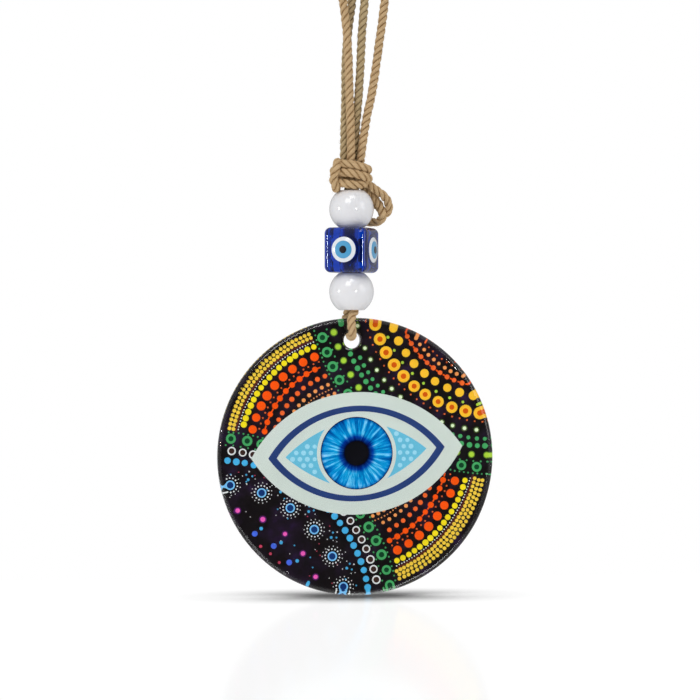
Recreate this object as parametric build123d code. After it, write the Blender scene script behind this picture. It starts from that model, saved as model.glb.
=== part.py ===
from build123d import *
import math
import os

# Evil eye ornament: a printed round glass on a jute cord, below three glass beads and a knot.
#
# Frame: +Z is up and -Y is the face with the picture. The origin is the bearing point of the
# hanging loops, where a hook carries them, and everything hangs below it. Millimetres.

# Heights, from the bearing point down
KNOT_TOP = -91.9
KNOT_BOTTOM = -100.4
BEADS_TOP = -101.8
BEAD_GAP = 0.1

# Printed glass
DISC_R = 45.0
GLASS_T = 4.0
ARRIS_R = 1.7
HOLE_R = 2.75
HOLE_CHAMFER = 0.5
HOLE_TO_RIM = 7.2
HOLE_Z = -150.4
DISC_Z = HOLE_Z - (DISC_R - HOLE_TO_RIM)
DISC_LEAN = -2.0
PRINT_R = 43.9
PRINT_SHIFT_X = 0.5
PRINT_T = 0.15
BACKING_T = 0.3
FILM_HOLE_R = 3.2

# Round beads: a ball with a wide bore, whose rounded mouths set its height
BEAD_R = 7.25
BORE_R = 3.1
BORE_EDGE = 0.72
BEAD_H = 2 * (math.sqrt((BEAD_R - BORE_EDGE) ** 2 - (BORE_R + BORE_EDGE) ** 2) + BORE_EDGE)

# Cube bead: rounded glass block with an eye of three fused drops on each side
CUBE_W = 14.5
CUBE_H = 14.6
CUBE_EDGE = 2.0
CUBE_TURN = -27.0
MOUND_R = 5.3
MOUND_H = 0.55
SOCKET_DEPTH = 0.5
DROP_CLEARANCE = 0.02
WHITE_R = 4.1
BLUE_R = 2.85
PUPIL_R = 1.2
WHITE_RIM = 0.3
WHITE_CROWN = 0.95
LAYER_RISE = 0.06

# Jute cord and its knot
CORD_D = 2.8
KNOT_R = 6.3
KNOT_NECK_R = 4.5
KNOT_WAIST_R = 5.4
LEG_X = 0.95
LEG_Y = 1.15
FRONT_SHOULDER_X = -0.85
BACK_SHOULDER_X = -1.6
LEG_STAND_OFF = 0.6
TURN_GAP = 0.2
BELOW_BEADS = 0.6
LEG_BEND_R = 3.0
TURN_BEND_R = 2.3
KNOT_LOBE = (-4.9, -0.8, -99.8)
KNOT_LOBE_R = 2.1

# Route of the front hanging loop: up the middle, over the hook and down the right
FRONT_LOOP = [
    (-0.3, -1.4, -93.0),
    (-0.35, -1.35, -82.0),
    (-0.8, -0.9, -71.0),
    (-1.1, -0.8, -57.0),
    (-2.1, -0.8, -45.5),
    (-3.8, -0.9, -35.0),
    (-6.3, -1.2, -23.5),
    (-8.3, -1.5, -13.0),
    (-8.0, -1.6, -4.6),
    (-3.6, -1.6, 1.45),
    (3.6, -1.6, 1.45),
    (8.2, -1.6, -4.4),
    (10.3, -1.5, -13.5),
    (11.7, -1.2, -24.0),
    (11.4, -0.8, -35.5),
    (10.1, -0.5, -46.0),
    (8.6, -0.4, -57.0),
    (6.7, -0.5, -70.5),
    (4.4, -0.8, -79.5),
    (2.7, -0.9, -93.0),
]

# Route of the back hanging loop: up the left, over the hook and down between the others
BACK_LOOP = [
    (-2.3, 0.9, -93.0),
    (-2.2, 1.1, -82.0),
    (-1.7, 1.95, -71.0),
    (-1.7, 2.15, -59.0),
    (-0.7, 2.15, -48.0),
    (0.75, 2.0, -38.5),
    (0.2, 2.2, -28.5),
    (-3.2, 2.1, -19.5),
    (-6.3, 1.9, -10.5),
    (-6.2, 1.7, -3.2),
    (-2.4, 1.6, 1.45),
    (3.0, 1.6, 1.45),
    (6.8, 1.6, -3.6),
    (7.6, 1.5, -13.0),
    (6.3, 1.0, -25.0),
    (4.8, 0.2, -36.0),
    (3.4, -0.5, -48.5),
    (2.9, -0.6, -60.0),
    (2.3, 0.2, -72.0),
    (1.4, 1.3, -82.0),
    (1.2, 1.6, -93.0),
]

# Route of the bight left under the knot: out to the right, down and round behind the top bead
TAIL_BIGHT = [
    (3.6, 0.4, -98.3),
    (8.2, 1.2, -101.6),
    (11.9, 2.2, -104.0),
    (13.0, 3.9, -107.9),
    (11.6, 6.8, -109.4),
    (9.4, 8.4, -105.6),
    (4.8, 10.2, -104.6),
    (-0.4, 10.5, -106.4),
    (-2.6, 9.7, -109.6),
    (-0.8, 8.9, -111.8),
    (3.0, 8.5, -111.8),
    (6.2, 7.0, -111.7),
    (9.4, 4.9, -111.9),
    (10.9, 3.3, -110.2),
    (10.0, 4.2, -106.6),
    (7.0, 3.9, -102.9),
    (2.2, 3.0, -98.3),
]


def largest_radii(points):
    """The largest fillet for each inner corner of a route: 0.45 of its shorter run over tan(half turn)."""
    radii = []
    for before, here, after in zip(points, points[1:], points[2:]):
        way_in = Vector(*here) - Vector(*before)
        way_out = Vector(*after) - Vector(*here)
        half_turn = math.radians(way_in.get_angle(way_out)) / 2
        radii.append(0.45 * min(way_in.length, way_out.length) / math.tan(half_turn))
    return radii


def cord_tube(name, points, radii):
    """A round tube along straight runs joined by tangent arcs, with its volume checked."""
    path = FilletPolyline(*points, radius=radii)
    start = path @ 0
    profile = Plane(origin=start, z_dir=path % 0) * Circle(CORD_D / 2)
    tube = sweep(profile, path=path)
    expected = math.pi * (CORD_D / 2) ** 2 * path.length
    print(f"{name}: length {path.length:.1f}, volume / expected {tube.volume / expected:.4f}")
    print("  radii", [round(r, 1) for r in radii])
    return tube


def along_y(radius, start_y, depth, z, x=0.0):
    """A cylinder with its axis along +Y, from start_y."""
    plane = Plane(origin=(x, start_y, z), x_dir=(1, 0, 0), z_dir=(0, 1, 0))
    return extrude(plane * Circle(radius), amount=depth)


def glass_disc():
    """Clear disc with a rounded rim and one chamfered hole near its top."""
    disc = along_y(DISC_R, -GLASS_T / 2, GLASS_T, DISC_Z)
    disc = fillet(disc.edges(), ARRIS_R)
    disc -= along_y(HOLE_R, -GLASS_T, 2 * GLASS_T, HOLE_Z)
    rims = [e for e in disc.edges().filter_by(GeomType.CIRCLE) if abs(e.radius - HOLE_R) < 0.01]
    return chamfer(rims, HOLE_CHAMFER)


def disc_film(start_y, thickness):
    """One film on the back of the glass, stuck on slightly to the right, with a hole for the cord."""
    film = along_y(PRINT_R, start_y, thickness, DISC_Z, PRINT_SHIFT_X)
    return film - along_y(FILM_HOLE_R, start_y - 1, thickness + 2, HOLE_Z)


def round_bead(top_z):
    """A ball with a bore, whose mouths are rounded."""
    ball = Sphere(BEAD_R) - Cylinder(BORE_R, 3 * BEAD_R)
    mouths = [
        e for e in ball.edges().filter_by(GeomType.CIRCLE)
        if abs(e.radius - BORE_R) < 0.01
    ]
    return Pos(0, 0, top_z - BEAD_H / 2) * fillet(mouths, BORE_EDGE)


def dome_height(r, rim_r, rim_height, crown):
    """Height over the face, at radius r, of a dome from rim_height at rim_r to its crown."""
    rise = crown - rim_height
    ball_r = (rim_r**2 + rise**2) / (2 * rise)
    return crown - ball_r + math.sqrt(ball_r**2 - r**2)


def turned_dome(outer_r, inner_r, floor, socket_floor, height):
    """A domed drop turned about X: solid out to outer_r, with a socket of inner_r in its middle."""
    outline = [
        Line((floor, 0), (floor, outer_r)),
        Line((floor, outer_r), (height(outer_r), outer_r)),
        ThreePointArc(
            (height(outer_r), outer_r),
            (height((outer_r + inner_r) / 2), (outer_r + inner_r) / 2),
            (height(inner_r), inner_r),
        ),
    ]
    if inner_r > 0:
        outline.append(Line((height(inner_r), inner_r), (socket_floor, inner_r)))
        outline.append(Line((socket_floor, inner_r), (socket_floor, 0)))
        outline.append(Line((socket_floor, 0), (floor, 0)))
    else:
        outline.append(Line((height(0), 0), (floor, 0)))
    return revolve(make_face(outline), Axis.X)


def eye_drops():
    """The three fused drops of one eye, on a face at x = 0: white, blue and pupil."""
    step = SOCKET_DEPTH / 3
    layers = {
        "white": (WHITE_R, BLUE_R + DROP_CLEARANCE),
        "blue": (BLUE_R, PUPIL_R + DROP_CLEARANCE),
        "pupil": (PUPIL_R, 0),
    }
    drops = {}
    for level, (name, (outer_r, inner_r)) in enumerate(layers.items()):
        lift = level * LAYER_RISE
        floor = -SOCKET_DEPTH + level * step

        def height(r, lift=lift):
            return lift + dome_height(r, WHITE_R, WHITE_RIM, WHITE_CROWN)

        drops[name] = turned_dome(outer_r, inner_r, floor, floor + step, height)
    return drops


def cube_sides(centre_z):
    """The places of the cube's four sides: +X of each place points out of the side."""
    middle = Pos(0, 0, centre_z)
    return [middle * Rot(0, 0, CUBE_TURN + 90 * k) * Pos(CUBE_W / 2, 0, 0) for k in range(-1, 3)]


def cube_bead(centre_z):
    """Rounded block with a low mound and a round socket on each side, and a bore along Z."""
    block = fillet(Box(CUBE_W, CUBE_W, CUBE_H).edges(), CUBE_EDGE)
    block = Pos(0, 0, centre_z) * Rot(0, 0, CUBE_TURN) * block
    block -= Pos(0, 0, centre_z) * Cylinder(BORE_R, 2 * CUBE_H)

    def height(r):
        return dome_height(r, MOUND_R, 0, MOUND_H)

    socket_r = WHITE_R + DROP_CLEARANCE
    mound = turned_dome(MOUND_R, 0, -SOCKET_DEPTH, -SOCKET_DEPTH, height)
    socket = Pos(-SOCKET_DEPTH, 0, 0) * Rot(0, 90, 0) * Cylinder(
        socket_r, 3, align=(Align.CENTER, Align.CENTER, Align.MIN)
    )
    for side in cube_sides(centre_z):
        block += side * mound
        block -= side * socket
    return block


def disc_cord():
    """The cord's two strands through the beads, and its turn through the hole in the glass."""
    top = KNOT_BOTTOM - TURN_GAP
    spread = BEADS_TOP - 2 * BEAD_H - CUBE_H - 2 * BEAD_GAP - BELOW_BEADS
    shoulder = HOLE_Z + HOLE_TO_RIM - CORD_D / 2 + 1.0
    turn = HOLE_Z + HOLE_R - CORD_D / 2 - TURN_GAP
    front = -(GLASS_T / 2 + CORD_D / 2 + LEG_STAND_OFF)
    back = GLASS_T / 2 + PRINT_T + BACKING_T + CORD_D / 2 + LEG_STAND_OFF
    points = [
        (LEG_X, -LEG_Y, top),
        (LEG_X, -LEG_Y, spread),
        (FRONT_SHOULDER_X, front, shoulder),
        (0.0, front, turn),
        (0.0, back, turn),
        (BACK_SHOULDER_X, back, shoulder),
        (-LEG_X, LEG_Y, spread),
        (-LEG_X, LEG_Y, top),
    ]
    legs = [LEG_BEND_R, LEG_BEND_R]
    return cord_tube("disc_cord", points, legs + [TURN_BEND_R, TURN_BEND_R] + legs)


def hanging_knot():
    """The overhand knot, plain: two wraps round a core as one turned body, and a low lobe on the left."""
    waist_z = (KNOT_TOP + KNOT_BOTTOM) / 2
    side = [
        Line((0, KNOT_BOTTOM), (0, KNOT_TOP)),
        Line((0, KNOT_TOP), (KNOT_NECK_R, KNOT_TOP)),
        ThreePointArc(
            (KNOT_NECK_R, KNOT_TOP),
            (KNOT_R, (KNOT_TOP + waist_z) / 2),
            (KNOT_WAIST_R, waist_z),
        ),
        ThreePointArc(
            (KNOT_WAIST_R, waist_z),
            (KNOT_R, (KNOT_BOTTOM + waist_z) / 2),
            (KNOT_NECK_R, KNOT_BOTTOM),
        ),
        Line((KNOT_NECK_R, KNOT_BOTTOM), (0, KNOT_BOTTOM)),
    ]
    wraps = revolve(Plane.XZ * make_face(side), Axis.Z)
    lobe = Pos(*KNOT_LOBE) * Sphere(KNOT_LOBE_R)
    return wraps + lobe


def build():
    """All nodes by name."""
    lean = Pos(0, 0, HOLE_Z) * Rot(0, DISC_LEAN, 0) * Pos(0, 0, -HOLE_Z)
    nodes = {
        "glass_disc": lean * glass_disc(),
        "picture_film": lean * disc_film(GLASS_T / 2, PRINT_T),
        "white_backing": lean * disc_film(GLASS_T / 2 + PRINT_T, BACKING_T),
    }
    cube_top = BEADS_TOP - BEAD_H - BEAD_GAP
    cube_z = cube_top - CUBE_H / 2
    nodes["upper_white_bead"] = round_bead(BEADS_TOP)
    nodes["cube_bead"] = cube_bead(cube_z)
    nodes["lower_white_bead"] = round_bead(cube_top - CUBE_H - BEAD_GAP)
    for number, side in enumerate(cube_sides(cube_z), start=1):
        for layer, drop in eye_drops().items():
            nodes[f"cube_eye_{number}_{layer}"] = side * drop
    nodes["disc_cord"] = disc_cord()
    nodes["hanging_knot"] = hanging_knot()
    nodes["front_hanging_loop"] = cord_tube("front loop", FRONT_LOOP, largest_radii(FRONT_LOOP))
    nodes["back_hanging_loop"] = cord_tube("back loop", BACK_LOOP, largest_radii(BACK_LOOP))
    nodes["tail_bight"] = cord_tube("tail bight", TAIL_BIGHT, largest_radii(TAIL_BIGHT))
    return nodes


os.makedirs("parts", exist_ok=True)
for node_name, shape in build().items():
    export_step(shape, f"parts/{node_name}.step")
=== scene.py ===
"""Evil eye ornament: a printed round glass on a jute cord, below three glass beads and a knot.

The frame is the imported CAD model: +Z is up, -Y is the face with the picture, metres.
The origin is the bearing point of the hanging loops, and the object hangs below it.
"""

import math
import random

import bpy
from mathutils import Matrix, Vector, noise

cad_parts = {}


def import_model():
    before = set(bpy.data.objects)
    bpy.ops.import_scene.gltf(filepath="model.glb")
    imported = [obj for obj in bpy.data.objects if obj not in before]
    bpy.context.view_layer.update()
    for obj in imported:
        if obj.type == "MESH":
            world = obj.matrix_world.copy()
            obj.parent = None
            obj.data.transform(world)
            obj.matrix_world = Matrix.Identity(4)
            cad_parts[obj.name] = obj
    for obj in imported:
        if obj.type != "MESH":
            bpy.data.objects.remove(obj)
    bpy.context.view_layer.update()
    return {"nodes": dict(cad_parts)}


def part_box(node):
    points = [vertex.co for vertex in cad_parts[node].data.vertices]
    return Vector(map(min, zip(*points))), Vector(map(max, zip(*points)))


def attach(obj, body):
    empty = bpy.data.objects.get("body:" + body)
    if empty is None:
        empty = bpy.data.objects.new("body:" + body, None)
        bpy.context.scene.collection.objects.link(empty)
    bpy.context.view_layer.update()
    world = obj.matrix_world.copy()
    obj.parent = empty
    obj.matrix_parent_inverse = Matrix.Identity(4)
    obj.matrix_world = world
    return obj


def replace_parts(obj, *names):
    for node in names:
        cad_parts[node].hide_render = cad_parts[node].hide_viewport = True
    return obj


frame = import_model()
NODES = frame["nodes"]
MM = 0.001

# Printed glass, from the frame
GLASS_LOW, GLASS_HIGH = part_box("glass_disc")
GLASS_BACK = GLASS_HIGH.y
FILM_LOW, FILM_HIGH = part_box("picture_film")
DISC_CENTRE = (GLASS_LOW + GLASS_HIGH) / 2
PRINT_R = (FILM_HIGH.x - FILM_LOW.x) / 2 / MM
FILM_CENTRE = ((FILM_HIGH.x + FILM_LOW.x) / 2 / MM - DISC_CENTRE.x / MM, 0.0)
HOLE_Z = -150.4
HOLE_CENTRE = (-DISC_CENTRE.x / MM, HOLE_Z - DISC_CENTRE.z / MM)
HOLE_R = 3.2

# Jute cord, in millimetres: three flattened plies in a right-handed lay
PLIES = 3
CORD_D = 2.8
LAY_PITCH = 6.8
PLY_OFFSET = 0.74
PLY_RADIAL = 0.70
PLY_ACROSS = 0.86
PLY_SIDES = 16
PLY_ROLL = 0.75
PLY_SWELL = 0.16
STRAND_SWELL = 0.13
END_TAPER = 0.45
STEP = 0.42

# Its fibres: how fine the streaks are round and along a ply, how far out from the cord's axis the painted
# groove shade gives way to painted crest light, and the loose hairs with the painted light they carry
FIBRES_ROUND = 5.0
FIBRE_RUN = 2.6
GROOVE_SHADE_SHARE = 0.5
HAIRS_PER_MM = 3.6
HAIR_R = 0.028
HAIR_ROOT = 0.25
HAIR_RINGS = 4
HAIR_SIDES = 3
HAIR_LIT_CREST = 0.42

# Routes, in millimetres, as in the CAD
FRONT_LOOP = [
    (-0.3, -1.4, -93.0),
    (-0.35, -1.35, -82.0),
    (-0.8, -0.9, -71.0),
    (-1.1, -0.8, -57.0),
    (-2.1, -0.8, -45.5),
    (-3.8, -0.9, -35.0),
    (-6.3, -1.2, -23.5),
    (-8.3, -1.5, -13.0),
    (-8.0, -1.6, -4.6),
    (-3.6, -1.6, 1.45),
    (3.6, -1.6, 1.45),
    (8.2, -1.6, -4.4),
    (10.3, -1.5, -13.5),
    (11.7, -1.2, -24.0),
    (11.4, -0.8, -35.5),
    (10.1, -0.5, -46.0),
    (8.6, -0.4, -57.0),
    (6.7, -0.5, -70.5),
    (4.4, -0.8, -79.5),
    (2.7, -0.9, -93.0),
]
BACK_LOOP = [
    (-2.3, 0.9, -93.0),
    (-2.2, 1.1, -82.0),
    (-1.7, 1.95, -71.0),
    (-1.7, 2.15, -59.0),
    (-0.7, 2.15, -48.0),
    (0.75, 2.0, -38.5),
    (0.2, 2.2, -28.5),
    (-3.2, 2.1, -19.5),
    (-6.3, 1.9, -10.5),
    (-6.2, 1.7, -3.2),
    (-2.4, 1.6, 1.45),
    (3.0, 1.6, 1.45),
    (6.8, 1.6, -3.6),
    (7.6, 1.5, -13.0),
    (6.3, 1.0, -25.0),
    (4.8, 0.2, -36.0),
    (3.4, -0.5, -48.5),
    (2.9, -0.6, -60.0),
    (2.3, 0.2, -72.0),
    (1.4, 1.3, -82.0),
    (1.2, 1.6, -93.0),
]
TAIL_BIGHT = [
    (3.6, 0.4, -98.3),
    (8.2, 1.2, -101.6),
    (11.9, 2.2, -104.0),
    (13.0, 3.9, -107.9),
    (11.6, 6.8, -109.4),
    (9.4, 8.4, -105.6),
    (4.8, 10.2, -104.6),
    (-0.4, 10.5, -106.4),
    (-2.6, 9.7, -109.6),
    (-0.8, 8.9, -111.8),
    (3.0, 8.5, -111.8),
    (6.2, 7.0, -111.7),
    (9.4, 4.9, -111.9),
    (10.9, 3.3, -110.2),
    (10.0, 4.2, -106.6),
    (7.0, 3.9, -102.9),
    (2.2, 3.0, -98.3),
]
DISC_CORD = [
    (0.95, -1.15, -100.6),
    (0.95, -1.15, -137.0),
    (0.95, -1.15, -141.3),
    (-0.85, -4.0, -143.6),
    (0.0, -4.0, -149.25),
    (0.0, 4.45, -149.25),
    (-1.6, 4.45, -143.6),
    (-0.95, 1.15, -141.3),
    (-0.95, 1.15, -137.0),
    (-0.95, 1.15, -100.6),
]
KNOT_WRAPS = [
    (1.6, 1.8, -92.9),
    (-2.6, 3.4, -92.9),
    (-5.2, 0.8, -93.2),
    (-4.2, -3.0, -93.4),
    (-0.2, -4.7, -93.6),
    (4.0, -4.3, -94.7),
    (5.7, -0.6, -95.3),
    (3.8, 3.4, -95.0),
    (-1.6, 4.4, -94.8),
    (-5.8, 1.6, -95.2),
    (-5.6, -2.6, -96.2),
    (-1.2, -4.7, -96.2),
    (3.6, -4.7, -97.4),
    (6.0, -1.0, -98.1),
    (4.2, 3.2, -97.9),
    (-1.2, 4.3, -97.6),
    (-5.8, 2.2, -98.0),
    (-6.0, -1.8, -99.1),
    (-1.8, -4.5, -100.0),
    (2.6, -4.1, -100.3),
    (4.7, 0.2, -99.2),
    (1.4, 3.0, -98.0),
    (-2.0, 3.2, -94.6),
    (-4.4, 0.6, -92.6),
    (-4.9, -3.3, -92.9),
    (-5.6, -4.9, -95.4),
    (-6.6, -4.2, -98.2),
    (-5.4, -3.4, -101.1),
    (-5.2, -1.2, -101.4),
    (-4.9, 0.6, -100.3),
]


# ---------------------------------------------------------------- materials

def linear(colour):
    """An sRGB colour, 0 to 255, as a linear RGBA value."""
    channels = [c / 255 for c in colour]
    return [c / 12.92 if c <= 0.04045 else ((c + 0.055) / 1.055) ** 2.4 for c in channels] + [1.0]


def surface(name, colour=(200, 200, 200), **values):
    """A Principled material with plain values on its sockets; returns it with its node."""
    material = bpy.data.materials.new(name)
    material.use_nodes = True
    shader = material.node_tree.nodes["Principled BSDF"]
    shader.inputs["Base Color"].default_value = linear(colour)
    for socket, value in values.items():
        shader.inputs[socket.replace("_", " ")].default_value = value
    return material, shader


def add_node(material, kind, **settings):
    """A new node in a material, with the given settings."""
    node = material.node_tree.nodes.new(kind)
    for key, value in settings.items():
        setattr(node, key, value)
    return node


def wire(material, source, target):
    material.node_tree.links.new(source, target)


def mix_shaders(material, share, first, second):
    """Two shaders blended; share is a number or the socket that gives the second one's part."""
    mix = add_node(material, "ShaderNodeMixShader")
    if isinstance(share, float):
        mix.inputs["Fac"].default_value = share
    else:
        wire(material, share, mix.inputs["Fac"])
    wire(material, first, mix.inputs[1])
    wire(material, second, mix.inputs[2])
    return mix.outputs["Shader"]


def colour_ramp(material, stops):
    """A colour ramp from (position, sRGB colour) stops."""
    ramp = add_node(material, "ShaderNodeValToRGB")
    elements = ramp.color_ramp.elements
    while len(elements) < len(stops):
        elements.new(0.5)
    for element, (position, colour) in zip(elements, stops):
        element.position = position
        element.color = linear(colour)
    return ramp


def clear_glass():
    """Clear glass that lets light through to the picture behind it."""
    material, shader = surface("clear_glass", (250, 253, 252), Roughness=0.0, IOR=1.5)
    shader.inputs["Transmission Weight"].default_value = 1.0
    output = material.node_tree.nodes["Material Output"]
    path = add_node(material, "ShaderNodeLightPath")
    through = add_node(material, "ShaderNodeBsdfTransparent")
    lit = mix_shaders(
        material, path.outputs["Is Shadow Ray"], shader.outputs["BSDF"], through.outputs["BSDF"]
    )
    wire(material, lit, output.inputs["Surface"])
    return material


def opal_glass():
    """Milky white glass, a little translucent under a glossy skin."""
    material, shader = surface("opal_glass", (240, 240, 243), Roughness=0.12)
    shader.inputs["Subsurface Weight"].default_value = 0.25
    shader.inputs["Subsurface Radius"].default_value = (1.0, 0.95, 0.9)
    shader.inputs["Subsurface Scale"].default_value = 0.002
    shader.inputs["Coat Weight"].default_value = 0.6
    shader.inputs["Coat Roughness"].default_value = 0.03
    return material


def cobalt_glass():
    """Deep blue see-through glass."""
    material, shader = surface("cobalt_glass", (6, 58, 178), Roughness=0.02, IOR=1.5)
    shader.inputs["Transmission Weight"].default_value = 0.9
    shader.inputs["Coat Weight"].default_value = 0.3
    shader.inputs["Coat Roughness"].default_value = 0.03
    return material


def glossy_drop(name, colour):
    material, shader = surface(name, colour, Roughness=0.12)
    shader.inputs["Coat Weight"].default_value = 0.5
    shader.inputs["Coat Roughness"].default_value = 0.04
    return material


def jute(name, shaded_groove, body, lit_crest):
    """Twisted plant fibre: streaks along the fibres, with painted shade down in the lay and painted light
    on the crests of the plies.
    """
    material, shader = surface(name, body, Roughness=0.9)
    shader.inputs["Specular IOR Level"].default_value = 0.2
    fibre = add_node(material, "ShaderNodeAttribute", attribute_name="fibre")
    streaks = add_node(material, "ShaderNodeTexNoise")
    streaks.inputs["Scale"].default_value = 1.0
    streaks.inputs["Detail"].default_value = 5.0
    streaks.inputs["Roughness"].default_value = 0.7
    wire(material, fibre.outputs["Vector"], streaks.inputs["Vector"])
    # Painted shade and light: darker where a vertex lies down in the lay, lighter where it lies on the
    # crest of a ply
    lay_shading = add_node(material, "ShaderNodeAttribute", attribute_name="lit_crest")
    blend = add_node(material, "ShaderNodeMath", operation="MULTIPLY_ADD")
    blend.inputs[1].default_value = 1.5
    wire(material, streaks.outputs["Fac"], blend.inputs[0])
    wire(material, lay_shading.outputs["Fac"], blend.inputs[2])
    ramp = colour_ramp(material, [(0.40, shaded_groove), (0.68, body), (0.88, lit_crest)])
    spread = add_node(material, "ShaderNodeMapRange")
    spread.inputs["From Max"].default_value = 1.4
    wire(material, blend.outputs["Value"], spread.inputs["Value"])
    wire(material, spread.outputs["Result"], ramp.inputs["Fac"])
    wire(material, ramp.outputs["Color"], shader.inputs["Base Color"])
    bump = add_node(material, "ShaderNodeBump")
    bump.inputs["Strength"].default_value = 0.55
    bump.inputs["Distance"].default_value = 0.0002
    wire(material, streaks.outputs["Fac"], bump.inputs["Height"])
    wire(material, bump.outputs["Normal"], shader.inputs["Normal"])
    return material


def ink(name, colour):
    """Flat printing ink with no gloss of its own; returns it with its node."""
    material, shader = surface(name, colour, Roughness=0.8)
    shader.inputs["Specular IOR Level"].default_value = 0.0
    return material, shader


def print_ground():
    """The picture's dark ground: near black with a faint violet haze."""
    material, shader = ink("print_ground", (22, 18, 20))
    place = add_node(material, "ShaderNodeTexCoord")
    haze = add_node(material, "ShaderNodeTexNoise")
    haze.inputs["Scale"].default_value = 170.0
    haze.inputs["Detail"].default_value = 4.0
    wire(material, place.outputs["Object"], haze.inputs["Vector"])
    ramp = colour_ramp(material, [(0.45, (24, 20, 22)), (0.62, (34, 25, 38)), (0.8, (48, 30, 66))])
    wire(material, haze.outputs["Fac"], ramp.inputs["Fac"])
    wire(material, ramp.outputs["Color"], shader.inputs["Base Color"])
    return material


def iris_ink():
    """Radial blue streaks, darker by the pupil and at the rim; object coordinates in metres."""
    material, shader = ink("iris_ink", (20, 130, 215))
    place = add_node(material, "ShaderNodeTexCoord")
    length = add_node(material, "ShaderNodeVectorMath", operation="LENGTH")
    wire(material, place.outputs["Object"], length.inputs[0])
    share = add_node(material, "ShaderNodeMath", operation="DIVIDE")
    share.inputs[1].default_value = IRIS_R * MM
    wire(material, length.outputs["Value"], share.inputs[0])
    direction = add_node(material, "ShaderNodeVectorMath", operation="NORMALIZE")
    wire(material, place.outputs["Object"], direction.inputs[0])
    stretch = add_node(material, "ShaderNodeVectorMath", operation="MULTIPLY_ADD")
    stretch.inputs[1].default_value = (6.5, 6.5, 6.5)
    wire(material, direction.outputs["Vector"], stretch.inputs[0])
    along = add_node(material, "ShaderNodeCombineXYZ")
    wire(material, share.outputs["Value"], along.inputs["Y"])
    wire(material, along.outputs["Vector"], stretch.inputs[2])
    streaks = add_node(material, "ShaderNodeTexNoise")
    streaks.inputs["Scale"].default_value = 1.3
    streaks.inputs["Detail"].default_value = 4.0
    streaks.inputs["Roughness"].default_value = 0.62
    wire(material, stretch.outputs["Vector"], streaks.inputs["Vector"])
    tone = colour_ramp(material, [
        (0.30, (2, 72, 142)),
        (0.44, (2, 122, 192)),
        (0.53, (16, 162, 218)),
        (0.63, (120, 210, 238)),
        (0.76, (212, 238, 246)),
    ])
    wire(material, streaks.outputs["Fac"], tone.inputs["Fac"])
    shade = colour_ramp(material, [
        (0.34, (10, 20, 45)),
        (0.46, (70, 105, 190)),
        (0.56, (255, 255, 255)),
        (0.90, (235, 240, 255)),
        (0.965, (150, 170, 215)),
        (0.985, (20, 32, 60)),
    ])
    wire(material, share.outputs["Value"], shade.inputs["Fac"])
    mix = add_node(material, "ShaderNodeMix", data_type="RGBA", blend_type="MULTIPLY")
    mix.inputs["Factor"].default_value = 1.0
    wire(material, tone.outputs["Color"], mix.inputs[6])
    wire(material, shade.outputs["Color"], mix.inputs[7])
    wire(material, mix.outputs[2], shader.inputs["Base Color"])
    return material


# ---------------------------------------------------------------- picture

# In millimetres: how far behind the glass the ground lies, how much nearer each next ink lies,
# how much of that step an ink fills, and the plain strip kept at the film's edges
GROUND_FRONT = 0.11
LEVEL_STEP = 0.012
INK_FILL = 0.6
FILM_MARGIN = 0.05

# The dots' colours, sRGB
INKS = {
    "orange": (246, 86, 18),
    "salmon": (236, 102, 44),
    "peach": (238, 152, 84),
    "yellow": (244, 222, 34),
    "amber": (240, 202, 68),
    "brick": (112, 44, 36),
    "gold": (246, 190, 48),
    "ember": (212, 84, 18),
    "lime": (172, 208, 62),
    "leaf": (92, 130, 42),
    "green": (72, 166, 98),
    "fir": (20, 62, 40),
    "cream": (222, 236, 196),
    "chalk": (226, 226, 228),
    "umber": (62, 40, 36),
    "sky": (72, 172, 224),
    "ice": (120, 190, 240),
    "navy": (22, 52, 110),
    "royal": (72, 104, 222),
    "pink": (236, 92, 182),
    "plum": (82, 34, 96),
    "rose": (196, 66, 92),
    "ink_black": (20, 17, 20),
}

# What one dot is made of: its inks from the bottom up, with their diameters in millimetres
DOTS = {
    "rim_amber": [("amber", 1.25)],
    "sun_yellow": [("yellow", 1.95)],
    "pin_white": [("chalk", 0.45)],
    "big_orange": [("orange", 2.9)],
    "orange": [("orange", 1.9)],
    "salmon": [("salmon", 1.6)],
    "peach": [("peach", 1.25)],
    "pin_peach": [("peach", 0.5)],
    "pin_orange": [("salmon", 0.6)],
    "halo_cream": [("leaf", 1.85), ("ink_black", 1.6), ("cream", 1.2)],
    "fire_ring": [("gold", 3.9), ("ember", 1.75)],
    "pin_lime": [("lime", 0.95)],
    "gold": [("gold", 2.9)],
    "green": [("green", 1.75)],
    "small_green": [("green", 1.35)],
    "pin_green": [("green", 0.6)],
    "green_ring": [("green", 3.3), ("fir", 1.75)],
    "lime_eye": [("leaf", 2.4), ("lime", 1.8)],
    "white_ring": [("chalk", 2.7), ("umber", 1.85)],
    "sky": [("sky", 2.15)],
    "star": [("ice", 3.1), ("navy", 2.15)],
    "pink_glow": [("plum", 2.3), ("pink", 1.5)],
    "royal": [("royal", 1.9)],
    "small_sky": [("sky", 1.3)],
    "rose": [("rose", 1.0)],
}

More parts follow.
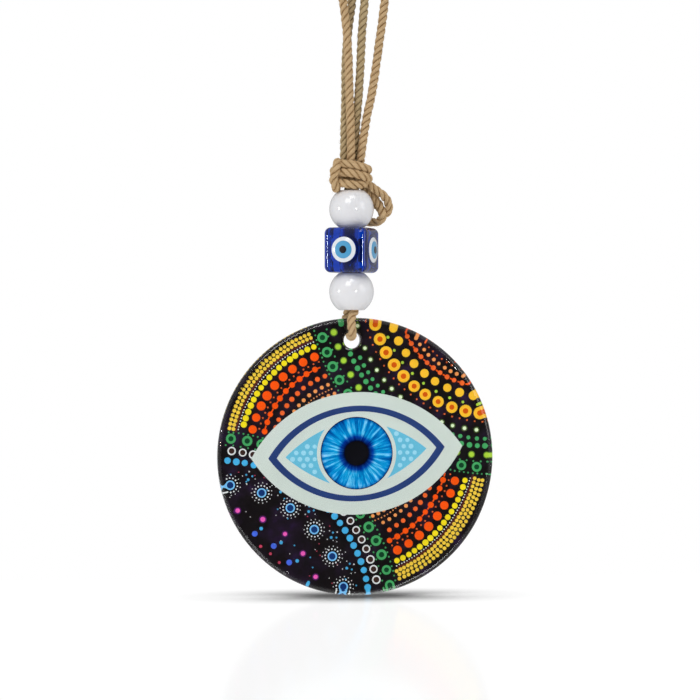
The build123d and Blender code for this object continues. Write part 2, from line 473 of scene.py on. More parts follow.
# Rows of dots: (radius of the row, distance from dot to dot, kind)
SUN_ROWS = [
    (5.7, 1.62, "rim_amber"),
    (4.35, 1.5, "rim_amber"),
    (3.0, 1.38, "rim_amber"),
    (1.45, 0.95, "pin_white"),
    (0.0, 2.2, "sun_yellow"),
    (-3.1, 4.2, "big_orange"),
    (-5.2, 1.9, "pin_orange"),
    (-7.0, 3.05, "orange"),
    (-10.2, 2.65, "salmon"),
    (-13.2, 2.3, "peach"),
    (-14.9, 1.1, "pin_peach"),
    (-16.6, 2.0, "peach"),
]
FIRE_ROWS = [
    (24.0, 1.9, "pin_lime"),
    (26.2, 1.9, "pin_orange"),
    (28.0, 2.3, "peach"),
    (30.2, 2.7, "salmon"),
    (33.4, 4.35, "gold"),
    (36.1, 4.7, "pin_lime"),
    (38.8, 4.8, "fire_ring"),
    (41.6, 2.6, "pin_orange"),
    (44.4, 3.92, "halo_cream"),
    (47.2, 2.7, "small_green"),
    (49.5, 2.6, "green"),
    (52.5, 4.95, "lime_eye"),
    (54.6, 2.3, "pin_green"),
    (56.5, 5.1, "green_ring"),
    (58.6, 1.5, "pin_green"),
]
NIGHT_ROWS = [
    (27.6, 4.0, "rose"),
    (51.0, 2.85, "sky"),
    (54.2, 3.6, "white_ring"),
    (56.0, 2.4, "pin_green"),
    (58.2, 5.0, "green_ring"),
    (60.2, 1.6, "pin_green"),
]

# Each fan of rows: the centre of its rows, in millimetres right of and above the disc's centre
FIRE_CENTRE = (44.0, 52.7)
FIRE_EDGE = 59.4
NIGHT_CENTRE = (-46.0, -52.0)
NIGHT_EDGE = 61.0
SUN_UPPER = ((-0.5, 1.0), 37.0, 104, 172)
SUN_LOWER = ((-3.0, 3.0), 40.6, -80, -8)

# The thin necks that join the dots of a row: where each starts and ends, and half its width
JOINED_OFFSET = -7.0
JOINED_SPACING = 3.05
FIRE_JOINED = (30.2, -178, -86, 2.7)
NECK_SPAN = (0.3, 0.7)
NECK_HALF = 0.22

# The thin brick-red lines of the sun fans: distances out from the yellow row, and half the width
RIM_LINES = (1.95, 2.25)
RIM_LINE_HALF = 0.08
RIM_LINE_STEPS = 60

# The night: rows round NIGHT_CENTRE as (distance out, degrees on from a star, kind, scale)
STAR_ROW = 43.2
STAR_TURNS = [83.0 - 14.0 * k for k in range(6)]
STAR_HALOES = ((2.35, 14, 1.2), (3.3, 15, 0.8))
PINK_ROW = 35.5
PINK_SWING = -5.5
SPARKS = ((32.6, -7.0, "small_sky", 0.9), (30.2, -5.0, "royal", 1.0))
CLUSTER_SWING = -7
CLUSTER = (
    (46.0, 0.0, "small_sky", 0.7),
    (47.4, 1.2, "small_sky", 0.5),
    (47.4, -1.2, "small_sky", 0.5),
    (48.6, 0.4, "pin_white", 1.1),
    (44.6, 0.3, "pin_white", 0.9),
    (46.8, 2.6, "pin_white", 0.8),
    (46.8, -2.6, "pin_white", 0.8),
)
DUST_COUNT = 110
DUST = {"pin_white": 0.75, "small_sky": 0.4, "rose": 0.4}

# The eye: (left tip, top, right tip, bottom) of each almond, and the iris
WHITE_ALMOND = ((-33.9, -0.6), (0.6, 20.9), (35.2, 3.3), (0.6, -18.9))
NAVY_OUTER = ((-28.4, -0.6), (0.5, 16.5), (29.4, 3.0), (0.5, -14.6))
NAVY_INNER = ((-25.6, -0.5), (0.5, 14.6), (26.6, 2.8), (0.5, -12.7))
IRIS_CENTRE = (0.45, 1.05)
IRIS_R = 11.8
PUPIL_R = 3.9
CORNER_R = 13.0
CORNER_BOW = 0.045
CORNERS = [((-22.8, -0.2), 143, 229), ((23.4, 2.5), -39, 42)]

# The pale dots in the eye's corners: rows and columns, and how far they keep from the edges
CORNER_GRID = 9
CORNER_COLUMN = 2.4
CORNER_ROW = 2.05
CORNER_INWARD = 6.5
CORNER_RISE = 1.2
TIP_CLEAR = 1.6
HOLLOW_CLEAR = 0.7
CORNER_TAPER = 0.62


def circle(centre, radius, sides):
    turn = 2 * math.pi / sides
    return [
        (centre[0] + radius * math.cos(k * turn), centre[1] + radius * math.sin(k * turn))
        for k in range(sides)
    ]


def arc_through(start, middle, end, steps):
    """Points from start to end on the circle through three points."""
    ax, ay = start
    bx, by = middle
    cx, cy = end
    d = 2 * (ax * (by - cy) + bx * (cy - ay) + cx * (ay - by))
    a2, b2, c2 = ax * ax + ay * ay, bx * bx + by * by, cx * cx + cy * cy
    x = (a2 * (by - cy) + b2 * (cy - ay) + c2 * (ay - by)) / d
    y = (a2 * (cx - bx) + b2 * (ax - cx) + c2 * (bx - ax)) / d
    radius = math.hypot(ax - x, ay - y)
    first = math.atan2(ay - y, ax - x)
    sweep = (math.atan2(cy - y, cx - x) - first + math.pi) % (2 * math.pi) - math.pi
    turns = [first + sweep * k / steps for k in range(steps + 1)]
    return [(x + radius * math.cos(t), y + radius * math.sin(t)) for t in turns]


def almond(corners, steps=48):
    """The outline of an eye shape, from its left tip over the top to the right tip and back."""
    left, top, right, bottom = corners
    upper = arc_through(left, top, right, steps)
    lower = arc_through(right, bottom, left, steps)
    return upper[:-1] + lower[:-1]


class Inlay:
    """One ink of the picture: thin closed shapes just behind the glass, at their own level."""

    def __init__(self):
        self.vertices = []
        self.faces = []

    def heights(self, level):
        front = GLASS_BACK + (GROUND_FRONT - LEVEL_STEP * (level + 1)) * MM
        return front, front + INK_FILL * LEVEL_STEP * MM

    def loop(self, outline, y):
        start = len(self.vertices)
        for u, v in outline:
            self.vertices.append((DISC_CENTRE.x + u * MM, y, DISC_CENTRE.z + v * MM))
        return list(range(start, start + len(outline)))

    def walls(self, a, b):
        """The strip of faces between two closed loops."""
        count = len(a)
        for k in range(count):
            n = (k + 1) % count
            self.faces.append((a[k], a[n], b[n], b[k]))

    def plate(self, outline, level):
        front, back = self.heights(level)
        near = self.loop(outline, front)
        far = self.loop(outline, back)
        self.faces.append(tuple(near))
        self.faces.append(tuple(reversed(far)))
        self.walls(far, near)

    def band(self, outer, inner, level):
        front, back = self.heights(level)
        edges = ((outer, front), (inner, front), (inner, back), (outer, back))
        loops = [self.loop(outline, y) for outline, y in edges]
        for a, b in zip(loops, loops[1:] + loops[:1]):
            self.walls(a, b)

    def piece(self, name, material):
        """The finished ink as one object that rides on the disc."""
        mesh = bpy.data.meshes.new(name)
        mesh.from_pydata(self.vertices, [], self.faces)
        mesh.materials.append(material)
        obj = bpy.data.objects.new(name, mesh)
        bpy.context.scene.collection.objects.link(obj)
        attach(obj, "disc")
        return obj


def distance(a, b):
    return math.hypot(a[0] - b[0], a[1] - b[1])


def on_print(spot):
    """True where a spot lies on the film, clear of the hole."""
    inside = distance(spot, FILM_CENTRE) < PRINT_R - FILM_MARGIN
    return inside and distance(spot, HOLE_CENTRE) > HOLE_R + FILM_MARGIN


def cut_to_film(outline):
    """The outline with what passes the film's edge drawn in to it, as where a print is cut."""
    most = PRINT_R - FILM_MARGIN
    middle_u, middle_v = FILM_CENTRE
    cut = []
    for u, v in outline:
        share = min(1.0, most / distance((u, v), FILM_CENTRE))
        cut.append((middle_u + (u - middle_u) * share, middle_v + (v - middle_v) * share))
    return cut


def put_dot(inks, spot, kind, scale=1.0):
    """One dot, ink over ink, if it lies on the film; the film's edge may cut it."""
    widest = DOTS[kind][0][1] * scale / 2
    if not on_print(spot) or distance(spot, HOLE_CENTRE) < HOLE_R + widest + FILM_MARGIN:
        return
    for level, (name, diameter) in enumerate(DOTS[kind]):
        radius = diameter * scale / 2
        sides = 8 if radius < 0.4 else 14 if radius < 1.0 else 24
        inks[name].plate(cut_to_film(circle(spot, radius, sides)), level)


def row_spots(rng, centre, radius, start, end, spacing):
    """Places along an arc from a random start, evenly spaced with a little hand-made unevenness."""
    count = max(1, round(math.radians(abs(end - start)) * radius / spacing))
    lead = rng.uniform(-0.5, 0.5)
    for k in range(count + 1):
        turn = math.radians(start + (end - start) * (k + lead) / count)
        turn += rng.uniform(-0.04, 0.04) * spacing / radius
        reach = radius + rng.uniform(-0.06, 0.06)
        yield centre[0] + reach * math.cos(turn), centre[1] + reach * math.sin(turn)


def in_dark_fans(spot):
    """True where a spot lies in the fire fan or the night fan, which the sun fans stop at."""
    return distance(spot, FIRE_CENTRE) < FIRE_EDGE or distance(spot, NIGHT_CENTRE) < NIGHT_EDGE


def sun_fan(inks, rng, fan):
    """Warm rows inside the rim, kept out of the two fans that meet it."""
    centre, yellow_row, start, end = fan
    for offset, spacing, kind in SUN_ROWS:
        for spot in row_spots(rng, centre, yellow_row + offset, start, end, spacing):
            if not in_dark_fans(spot):
                put_dot(inks, spot, kind, rng.uniform(0.92, 1.06))


def neck_between(a, b):
    """A thin bar from one point to another."""
    length = distance(a, b)
    nx = (a[1] - b[1]) / length * NECK_HALF
    ny = (b[0] - a[0]) / length * NECK_HALF
    return [(a[0] - nx, a[1] - ny), (b[0] - nx, b[1] - ny), (b[0] + nx, b[1] + ny), (a[0] + nx, a[1] + ny)]


def neck_fits(spot, centre):
    """True where an end of a neck lies on the film and within its own fan."""
    if centre != FIRE_CENTRE and distance(spot, FIRE_CENTRE) < FIRE_EDGE:
        return False
    return on_print(spot) and distance(spot, NIGHT_CENTRE) >= NIGHT_EDGE


def joined_row(inks, centre, radius, start, end, spacing):
    """The thin necks that join the dots of one row to each other."""
    count = round(math.radians(abs(end - start)) * radius / spacing)
    for k in range(count):
        turns = [math.radians(start + (end - start) * (k + t) / count) for t in NECK_SPAN]
        ends = [(centre[0] + radius * math.cos(t), centre[1] + radius * math.sin(t)) for t in turns]
        if all(neck_fits(spot, centre) for spot in ends):
            inks["orange"].plate(neck_between(*ends), 0)


def arc_cell(centre, radius, half, start, end):
    """Four corners of a short piece of a line that runs along an arc."""
    turns = (math.radians(start), math.radians(end))
    inner = [(radius - half, t) for t in turns]
    outer = [(radius + half, t) for t in reversed(turns)]
    return [(centre[0] + r * math.cos(t), centre[1] + r * math.sin(t)) for r, t in inner + outer]


def rim_lines(inks):
    """The thin brick-red lines beside the pin dots of the sun fans."""
    for centre, yellow_row, start, end in (SUN_UPPER, SUN_LOWER):
        stops = [start + (end - start) * k / RIM_LINE_STEPS for k in range(RIM_LINE_STEPS + 1)]
        for offset in RIM_LINES:
            for a, b in zip(stops, stops[1:]):
                cell = arc_cell(centre, yellow_row + offset, RIM_LINE_HALF, a, b)
                if on_print(cell[0]) and not in_dark_fans(cell[0]):
                    inks["brick"].plate(cut_to_film(cell), 0)


def ringed_stars(inks):
    """A row of stars, each inside two rings of pin dots."""
    for turn in STAR_TURNS:
        star = polar(NIGHT_CENTRE, STAR_ROW, turn)
        put_dot(inks, star, "star", 1.0)
        for ring, count, scale in STAR_HALOES:
            for k in range(count):
                spot = polar(star, ring, 360 * k / count + ring * 40)
                put_dot(inks, spot, "pin_white", scale)


def night_sparks(inks, rng):
    """Glowing pinks, blue sparks, little clusters between the stars, and scattered dust."""
    for turn in STAR_TURNS[:5]:
        put_dot(inks, polar(NIGHT_CENTRE, PINK_ROW, turn + PINK_SWING), "pink_glow", rng.uniform(0.9, 1.1))
    for turn in STAR_TURNS[1:5]:
        for reach, swing, kind, scale in SPARKS:
            put_dot(inks, polar(NIGHT_CENTRE, reach, turn + swing), kind, scale)
    for turn in STAR_TURNS:
        for reach, swing, kind, scale in CLUSTER:
            put_dot(inks, polar(NIGHT_CENTRE, reach, turn + CLUSTER_SWING + swing), kind, scale)
    for _ in range(DUST_COUNT):
        spot = polar(NIGHT_CENTRE, rng.uniform(18, 49), rng.uniform(-5, 100))
        kind = rng.choice(["pin_white", "pin_white", "small_sky", "rose"])
        put_dot(inks, spot, kind, DUST[kind])


def polar(centre, reach, degrees):
    turn = math.radians(degrees)
    return centre[0] + reach * math.cos(turn), centre[1] + reach * math.sin(turn)


def dot_picture(inks):
    """All the rows of dots round the eye."""
    rng = random.Random(11)
    sun_fan(inks, rng, SUN_UPPER)
    sun_fan(inks, rng, SUN_LOWER)
    for centre, yellow_row, start, end in (SUN_UPPER, SUN_LOWER):
        joined_row(inks, centre, yellow_row + JOINED_OFFSET, start, end, JOINED_SPACING)
    joined_row(inks, FIRE_CENTRE, *FIRE_JOINED)
    rim_lines(inks)
    for radius, spacing, kind in FIRE_ROWS:
        for spot in row_spots(rng, FIRE_CENTRE, radius, -178, -86, spacing):
            put_dot(inks, spot, kind, rng.uniform(0.93, 1.06))
    for radius, spacing, kind in NIGHT_ROWS:
        for spot in row_spots(rng, NIGHT_CENTRE, radius, 96, 2, spacing):
            if distance(spot, FIRE_CENTRE) > FIRE_EDGE:
                put_dot(inks, spot, kind, rng.uniform(0.93, 1.06))
    ringed_stars(inks)
    night_sparks(inks, rng)


def corner_spots(tip):
    """A staggered grid of places that fall inside the eye's corner at the given tip."""
    half = CORNER_GRID // 2
    left = tip[0] * 0.35
    inward = math.copysign(CORNER_INWARD, tip[0])
    for row in range(CORNER_GRID):
        for column in range(CORNER_GRID):
            stagger = (row % 2) * CORNER_COLUMN / 2
            u = left + (column - half) * CORNER_COLUMN + stagger + inward
            v = CORNER_RISE + (row - half) * CORNER_ROW
            if in_corner((u, v), tip):
                yield u, v


def corner_outline(tip, start, end, steps=20):
    """The outline of one corner: hollow beside the iris, with two bowed edges out to the tip."""
    hollow = [polar(IRIS_CENTRE, CORNER_R, start + (end - start) * k / steps) for k in range(steps + 1)]
    first = bowed(hollow[-1], tip, CORNER_BOW)
    last = bowed(tip, hollow[0], CORNER_BOW)
    return hollow + first[1:-1] + [tip] + last[1:-1]


def eye_shapes(paper, navy, corner_blue, corner_pale, pupil):
    """The almond, its navy outline, the two dotted corners and the pupil."""
    paper.plate(almond(WHITE_ALMOND), 3)
    navy.band(almond(NAVY_OUTER), almond(NAVY_INNER), 4)
    rng = random.Random(5)
    for tip, start, end in CORNERS:
        corner_blue.plate(corner_outline(tip, start, end), 4)
        for spot in corner_spots(tip):
            corner_pale.plate(circle(spot, rng.uniform(0.66, 0.82), 18), 5)
    pupil.plate(circle(IRIS_CENTRE, PUPIL_R, 40), 5)


def bowed(start, end, bow, steps=8):
    """A slightly bowed edge from start to end."""
    mx, my = (start[0] + end[0]) / 2, (start[1] + end[1]) / 2
    dx, dy = end[0] - start[0], end[1] - start[1]
    return arc_through(start, (mx - dy * bow, my + dx * bow), end, steps)


def in_corner(spot, tip):
    """True where a pale dot lies well inside a corner of the eye."""
    reach = abs(tip[0] - spot[0])
    short_of_tip = (tip[0] - spot[0]) * math.copysign(1, tip[0]) > TIP_CLEAR
    off_hollow = distance(spot, IRIS_CENTRE) > CORNER_R + HOLLOW_CLEAR
    between_edges = abs(spot[1] - tip[1] * 0.6) < CORNER_TAPER * reach
    return short_of_tip and off_hollow and between_edges


def picture():
    """The printed picture behind the glass, which stands for the film."""
    ground = Inlay()
    ground.band(circle(FILM_CENTRE, PRINT_R, 128), circle(HOLE_CENTRE, HOLE_R, 128), -1)
    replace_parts(ground.piece("picture_ground", print_ground()), "picture_film")

    inks = {name: Inlay() for name in INKS}
    dot_picture(inks)
    for name, inlay in inks.items():
        if inlay.faces:
            inlay.piece(f"picture_{name}", ink(f"ink_{name}", INKS[name])[0])

    paper, navy, corner_blue, corner_pale, pupil, iris = (Inlay() for _ in range(6))
    eye_shapes(paper, navy, corner_blue, corner_pale, pupil)
    paper.piece("eye_white", ink("ink_paper", (208, 216, 210))[0])
    navy.piece("eye_outline", ink("ink_outline", (44, 64, 118))[0])
    corner_blue.piece("eye_corners", ink("ink_corner", (104, 186, 216))[0])
    corner_pale.piece("eye_corner_dots", ink("ink_corner_dot", (158, 214, 234))[0])
    pupil.piece("eye_pupil", ink("ink_pupil", (16, 15, 20))[0])
    iris.plate(circle(IRIS_CENTRE, IRIS_R, 96), 4)
    iris_piece = iris.piece("eye_iris", iris_ink())
    place = Vector((IRIS_CENTRE[0] * MM, iris.vertices[0][1], IRIS_CENTRE[1] * MM))
    middle = place + Vector((DISC_CENTRE.x, 0, DISC_CENTRE.z))
    iris_piece.data.transform(Matrix.Translation(-middle))
    iris_piece.location = middle


# ---------------------------------------------------------------- jute

def centreline(route):
    """Evenly spaced points, in metres, on the smooth line that the route's control points give."""
    curve = bpy.data.curves.new("route", "CURVE")
    curve.dimensions = "3D"
    curve.resolution_u = 24
    spline = curve.splines.new("NURBS")
    spline.points.add(len(route) - 1)
    for point, (x, y, z) in zip(spline.points, route):
        point.co = (x * MM, y * MM, z * MM, 1.0)
    spline.order_u = 3
    spline.use_endpoint_u = True
    holder = bpy.data.objects.new("route", curve)
    mesh = bpy.data.meshes.new_from_object(holder)
    dense = [v.co.copy() for v in mesh.vertices]
    bpy.data.objects.remove(holder)
    bpy.data.curves.remove(curve)
    bpy.data.meshes.remove(mesh)
    return evenly(dense)


def evenly(dense):
    """The same line with its points one STEP apart."""
    travelled = [0.0]
    for a, b in zip(dense, dense[1:]):
        travelled.append(travelled[-1] + (b - a).length)
    count = max(4, round(travelled[-1] / (STEP * MM)))
    points = []
    place = 0
    for k in range(count + 1):
        target = travelled[-1] * k / count
        while place < len(dense) - 2 and travelled[place + 1] < target:
            place += 1
        run = travelled[place + 1] - travelled[place]
        share = (target - travelled[place]) / run if run else 0.0
        points.append(dense[place].lerp(dense[place + 1], share))
    return points


def frames_along(points):
    """A direction and two crosswise axes at each point, carried along without twist."""
    frames = []
    tangent = (points[1] - points[0]).normalized()
    across = tangent.orthogonal().normalized()
    for k in range(len(points)):
        ahead = points[min(k + 1, len(points) - 1)] - points[max(k - 1, 0)]
        turned = tangent.rotation_difference(ahead.normalized())
        across = turned @ across
        tangent = ahead.normalized()
        across = (across - tangent * across.dot(tangent)).normalized()
        frames.append((tangent, across, tangent.cross(across)))
    return frames


class Rope:
    """A mesh of twisted plies and loose hairs, with the coordinates that its material reads."""

    def __init__(self, seed):
        self.rng = random.Random(seed)
        self.vertices = []
        self.faces = []
        self.fibre = []
        self.lit_crest = []

    def add_vertex(self, place, fibre, lit_crest):
        self.vertices.append(place)
        self.fibre.extend(fibre)
        self.lit_crest.append(lit_crest)
        return len(self.vertices) - 1

    def tube(self, rings):
        """The faces that join a row of rings, and close both ends."""
        for a, b in zip(rings, rings[1:]):
            for s in range(len(a)):
                n = (s + 1) % len(a)
                self.faces.append((a[s], a[n], b[n], b[s]))
        self.faces.append(tuple(reversed(rings[0])))
        self.faces.append(tuple(rings[-1]))

    def ply_ring(self, frame_here, along, phase, swell, offset):
        """One ring of a ply, whose strands roll round it as the ply turns round the cord."""
        centre, across, up = frame_here
        out = across * math.cos(phase) + up * math.sin(phase)
        side = up * math.cos(phase) - across * math.sin(phase)
        ring = []
        for s in range(PLY_SIDES):
            turn = 2 * math.pi * s / PLY_SIDES
            lie = turn + PLY_ROLL * phase
            strand = Vector((2.2 * math.cos(lie), 2.2 * math.sin(lie), along * 0.5 + offset * 9))
            girth = swell * (1 + STRAND_SWELL * noise.noise(strand))
            radial = (PLY_OFFSET + PLY_RADIAL * girth * math.cos(turn)) * MM
            sideways = PLY_ACROSS * girth * math.sin(turn) * MM
            place = centre + out * radial + side * sideways
            fibre = (
                FIBRES_ROUND * math.cos(lie),
                FIBRES_ROUND * math.sin(lie),
                along / FIBRE_RUN + offset * 17,
            )
            # Painted light and shade: the further out from the cord's axis a vertex lies, the lighter its
            # colour; down in the lay it takes the dark painted groove shade
            height = (place - centre).length / (CORD_D / 2 * MM)
            lit_crest = max(0.0, (height - GROOVE_SHADE_SHARE) / (1 - GROOVE_SHADE_SHARE)) * 0.5
            ring.append(self.add_vertex(place, fibre, lit_crest))
        return ring

    def ply(self, points, frames, lead, offset):
        """One ply: a flattened tube on a helix round the centreline, closed at its ends."""
        rings = []
        for k, (centre, (_, across, up)) in enumerate(zip(points, frames)):
            along = k * STEP
            phase = lead + 2 * math.pi * along / LAY_PITCH
            swell = 1 + PLY_SWELL * noise.noise(Vector((along * 0.4, offset, 3.1)))
            from_end = min(k, len(points) - 1 - k)
            taper = min(1.0, 1 - END_TAPER + END_TAPER * from_end / 2)
            rings.append(self.ply_ring((centre, across, up), along, phase, swell * taper, offset))
        self.tube(rings)

    def hair(self, centre, tangent, out):
        """One loose fibre that leaves the cord and bends along it."""
        rng = self.rng
        lean = rng.choice((-1, 1)) * rng.uniform(0.6, 1.6)
        length = rng.uniform(0.7, 2.0) * MM
        side = tangent.cross(out)
        heading = out * rng.uniform(0.25, 0.9) + tangent * lean + side * rng.uniform(-0.5, 0.5)
        heading = heading.normalized()
        curl = tangent * lean * 0.7 - out * rng.uniform(0.0, 0.9) + side * rng.uniform(-0.6, 0.6)
        curl = curl * 0.35
        place = centre + out * (CORD_D / 2 - HAIR_ROOT) * MM
        rings = []
        for k in range(HAIR_RINGS):
            width = HAIR_R * MM * (1 - 0.22 * k)
            one = heading.orthogonal().normalized()
            two = heading.cross(one)
            ring = []
            for s in range(HAIR_SIDES):
                turn = 2 * math.pi * s / HAIR_SIDES
                spot = place + (one * math.cos(turn) + two * math.sin(turn)) * width
                fibre = (k * 0.3, length * 900, rng.random() * 0.2)
                # Hairs take a fixed painted light, close to that of the ply crests
                ring.append(self.add_vertex(spot, fibre, HAIR_LIT_CREST))
            rings.append(ring)
            place = place + heading * length / (HAIR_RINGS - 1)
            heading = (heading + curl).normalized()
        self.tube(rings)

    def lay(self, route):
        """Three plies along a route, with hairs; returns the centreline."""
        points = centreline(route)
        frames = frames_along(points)
        lead = self.rng.uniform(0, 2 * math.pi)
        for k in range(PLIES):
            self.ply(points, frames, lead + 2 * math.pi * k / PLIES, k + self.rng.random())
        for _ in range(int(HAIRS_PER_MM * STEP * len(points))):
            k = self.rng.randrange(2, len(points) - 2)
            tangent, across, up = frames[k]
            turn = self.rng.uniform(0, 2 * math.pi)
            self.hair(points[k], tangent, across * math.cos(turn) + up * math.sin(turn))
        return points

    def piece(self, name, material, body, node):
        """The finished cord, which stands for its CAD node."""
        mesh = bpy.data.meshes.new(name)
        mesh.from_pydata([tuple(v) for v in self.vertices], [], self.faces)
        mesh.attributes.new("fibre", "FLOAT_VECTOR", "POINT").data.foreach_set("vector", self.fibre)
        mesh.attributes.new("lit_crest", "FLOAT", "POINT").data.foreach_set("value", self.lit_crest)
        mesh.shade_smooth()
        mesh.materials.append(material)
        obj = bpy.data.objects.new(name, mesh)
        bpy.context.scene.collection.objects.link(obj)
        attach(obj, body)
        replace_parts(obj, node)
        return obj


def length_of(points):
    return sum((b - a).length for a, b in zip(points, points[1:]))


def free_cord(name, route, material, seed, node):
    """A hanging loop or the tail: a free cord that starts and ends in the knot."""
    rope = Rope(seed)
    points = rope.lay(route)
    piece = rope.piece(name, material, "cord", node)
    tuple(points[0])
    length_of(points)
    [tuple(p) for p in points]


def jute_work():
    """Every cord: the two hanging loops, the tail, the knot, and the cord down to the disc."""
    # Each jute: its painted groove shade, its body colour and its painted crest light
    warm = jute("jute_warm", (92, 66, 38), (172, 137, 94), (208, 178, 136))
    # A darker, greyer copy of the same jute: painted shade for the back loop, which hangs behind the front
    # one
    shaded_jute = jute("jute_shaded", (84, 70, 46), (155, 132, 96), (192, 170, 130))
    free_cord("front_loop_jute", FRONT_LOOP, warm, 1, "front_hanging_loop")
    free_cord("back_loop_jute", BACK_LOOP, shaded_jute, 2, "back_hanging_loop")
    free_cord("tail_jute", TAIL_BIGHT, warm, 3, "tail_bight")
    knot = Rope(4)
    knot.lay(KNOT_WRAPS)
    knot.piece("knot_jute", warm, "cord", "hanging_knot")
    hanger = Rope(5)
    hanger.lay(DISC_CORD)
    hanger.piece("disc_cord_jute", warm, "disc_hanger", "disc_cord")


# ---------------------------------------------------------------- glass pieces

def dress(node, material):
    """Gives a CAD node its material."""
    obj = NODES[node]
    obj.data.materials.clear()
    obj.data.materials.append(material)


def glass_pieces():
    opal = opal_glass()
    dress("upper_white_bead", opal)
    dress("lower_white_bead", opal)
    dress("cube_bead", cobalt_glass())
    white = glossy_drop("white_drop", (238, 242, 246))
    blue = glossy_drop("light_blue_drop", (84, 166, 214))
    pupil = glossy_drop("pupil_drop", (14, 16, 26))
    for number in range(1, 5):
        dress(f"cube_eye_{number}_white", white)
        dress(f"cube_eye_{number}_blue", blue)
        dress(f"cube_eye_{number}_pupil", pupil)
    dress("glass_disc", clear_glass())
    dress("white_backing", surface("backing", (232, 232, 230), Roughness=0.5)[0])


# ---------------------------------------------------------------- studio

# The table: its gap below the disc, half its width, and its near and far edges, in metres
FLOOR_GAP = 0.0002
FLOOR_HALF = 0.8
FLOOR_NEAR = -0.3
FLOOR_FAR = 0.07

# Its brightness, its share of reflection, and how near a thing has to be to shade it
FLOOR_WHITE = 1.13
FLOOR_GLOSS = 0.17
SHADE_REACH = 0.03

def floor_material():
    """White, shaded where something stands close above it, with a faint reflection."""
    material = bpy.data.materials.new("floor")
    material.use_nodes = True
    output = material.node_tree.nodes["Material Output"]
    closeness = add_node(material, "ShaderNodeAmbientOcclusion", samples=16)
    closeness.inputs["Distance"].default_value = SHADE_REACH
    shade = add_node(material, "ShaderNodeMapRange")
    for socket, value in (("From Min", 0.6), ("From Max", 0.97), ("To Min", 0.05), ("To Max", FLOOR_WHITE)):
        shade.inputs[socket].default_value = value
    wire(material, closeness.outputs["AO"], shade.inputs["Value"])
    glow = add_node(material, "ShaderNodeEmission")
    wire(material, shade.outputs["Result"], glow.inputs["Strength"])
    gloss = add_node(material, "ShaderNodeBsdfGlossy")
    gloss.inputs["Roughness"].default_value = 0.1
    gloss.inputs["Color"].default_value = (1, 1, 1, 1)
    white = mix_shaders(material, FLOOR_GLOSS, glow.outputs["Emission"], gloss.outputs["BSDF"])
    path = add_node(material, "ShaderNodeLightPath")
    unseen = add_node(material, "ShaderNodeBsdfTransparent")
    seen = mix_shaders(material, path.outputs["Is Glossy Ray"], white, unseen.outputs["BSDF"])
    wire(material, seen, output.inputs["Surface"])
    return material


def floor():
    """A white table just below the disc, which the glass does not reflect."""
    mesh = bpy.data.meshes.new("floor")
    top = GLASS_LOW.z - FLOOR_GAP
    corners = [
        (-FLOOR_HALF, FLOOR_NEAR, top),
        (FLOOR_HALF, FLOOR_NEAR, top),
        (FLOOR_HALF, FLOOR_FAR, top),
        (-FLOOR_HALF, FLOOR_FAR, top),
    ]
    mesh.from_pydata(corners, [], [(0, 1, 2, 3)])
    plane = bpy.data.objects.new("floor", mesh)
    bpy.context.scene.collection.objects.link(plane)
    plane.data.materials.append(floor_material())


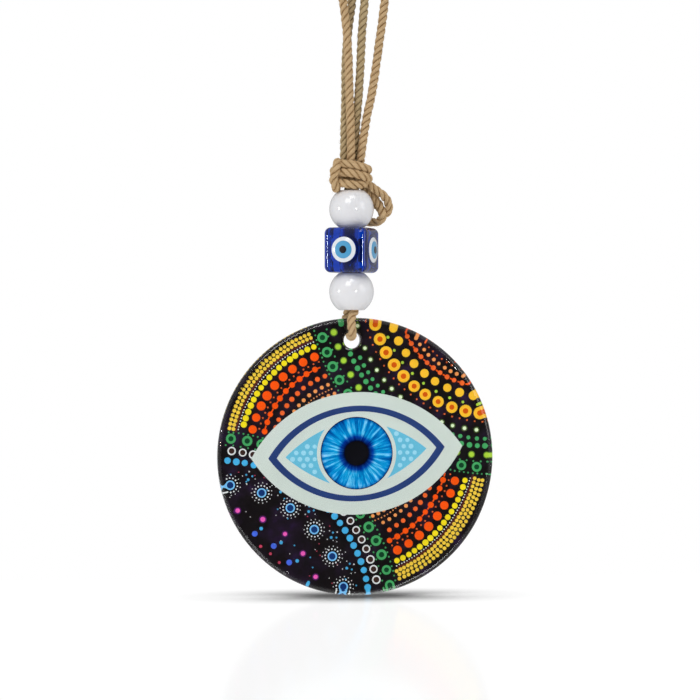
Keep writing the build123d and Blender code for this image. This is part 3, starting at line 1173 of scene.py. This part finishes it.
def world():
    """White behind the object, and a soft surround that is dark in front of it."""
    surround = bpy.data.worlds.new("surround")
    bpy.context.scene.world = surround
    surround.use_nodes = True
    background = surround.node_tree.nodes["Background"]
    place = add_node(surround, "ShaderNodeTexCoord")
    split = add_node(surround, "ShaderNodeSeparateXYZ")
    wire(surround, place.outputs["Generated"], split.inputs["Vector"])
    spread = add_node(surround, "ShaderNodeMapRange", interpolation_type="SMOOTHSTEP")
    for socket, value in (("From Min", -0.97), ("From Max", -0.55), ("To Min", 0.01), ("To Max", 0.45)):
        spread.inputs[socket].default_value = value
    wire(surround, split.outputs["Y"], spread.inputs["Value"])
    path = add_node(surround, "ShaderNodeLightPath")
    seen = add_node(surround, "ShaderNodeMath", operation="MAXIMUM")
    clear = add_node(surround, "ShaderNodeMath", operation="SUBTRACT")
    wire(surround, path.outputs["Is Transmission Ray"], clear.inputs[0])
    wire(surround, path.outputs["Diffuse Depth"], clear.inputs[1])
    behind = add_node(surround, "ShaderNodeMath", operation="GREATER_THAN")
    behind.inputs[1].default_value = 0.0
    wire(surround, split.outputs["Y"], behind.inputs[0])
    through = add_node(surround, "ShaderNodeMath", operation="MULTIPLY")
    wire(surround, clear.outputs["Value"], through.inputs[0])
    wire(surround, behind.outputs["Value"], through.inputs[1])
    wire(surround, path.outputs["Is Camera Ray"], seen.inputs[0])
    wire(surround, through.outputs["Value"], seen.inputs[1])
    pick = add_node(surround, "ShaderNodeMath", operation="MAXIMUM")
    wire(surround, seen.outputs["Value"], pick.inputs[0])
    wire(surround, spread.outputs["Result"], pick.inputs[1])
    wire(surround, pick.outputs["Value"], background.inputs["Strength"])
    background.inputs["Color"].default_value = (1, 1, 1, 1)


def softbox(name, direction, distance_away, width, height, power):
    """An area light that faces the beads and the disc."""
    target = Vector((0, 0, -0.16))
    light = bpy.data.lights.new(name, "AREA")
    light.shape = "RECTANGLE"
    light.size = width
    light.size_y = height
    light.energy = power
    lamp = bpy.data.objects.new(name, light)
    lamp.location = target + Vector(direction).normalized() * distance_away
    lamp.rotation_euler = (target - lamp.location).to_track_quat("-Z", "Y").to_euler()
    bpy.context.scene.collection.objects.link(lamp)


def lights():
    softbox("key", (-0.45, -0.85, 0.85), 1.1, 0.5, 0.5, 2.9)
    softbox("fill", (0.95, -0.7, 0.35), 1.1, 0.5, 0.6, 1.35)
    softbox("top", (0.0, -0.5, 0.95), 0.9, 0.35, 0.25, 1.0)
    softbox("window_left", (-0.96, -0.28, 0.08), 0.8, 0.05, 0.1, 0.8)
    softbox("window_right", (0.28, -0.96, 0.07), 0.8, 0.06, 0.08, 0.7)


def camera():
    """A long lens a few degrees to the left of the picture's normal, level with the upper disc."""
    target = Vector((-0.0005, 0, -0.1536))
    turn = math.radians(-7.0)
    away = 0.9
    view = bpy.data.cameras.new("camera")
    view.sensor_width = 36.0
    view.lens = 142.6
    eye = bpy.data.objects.new("camera", view)
    eye.location = target + Vector((math.sin(turn), -math.cos(turn), 0)) * away
    eye.rotation_euler = (target - eye.location).to_track_quat("-Z", "Y").to_euler()
    bpy.context.scene.collection.objects.link(eye)
    bpy.context.scene.camera = eye
    bpy.context.scene.view_settings.view_transform = "Standard"


picture()
glass_pieces()
jute_work()
floor()
world()
lights()
camera()

bpy.context.view_layer.update()
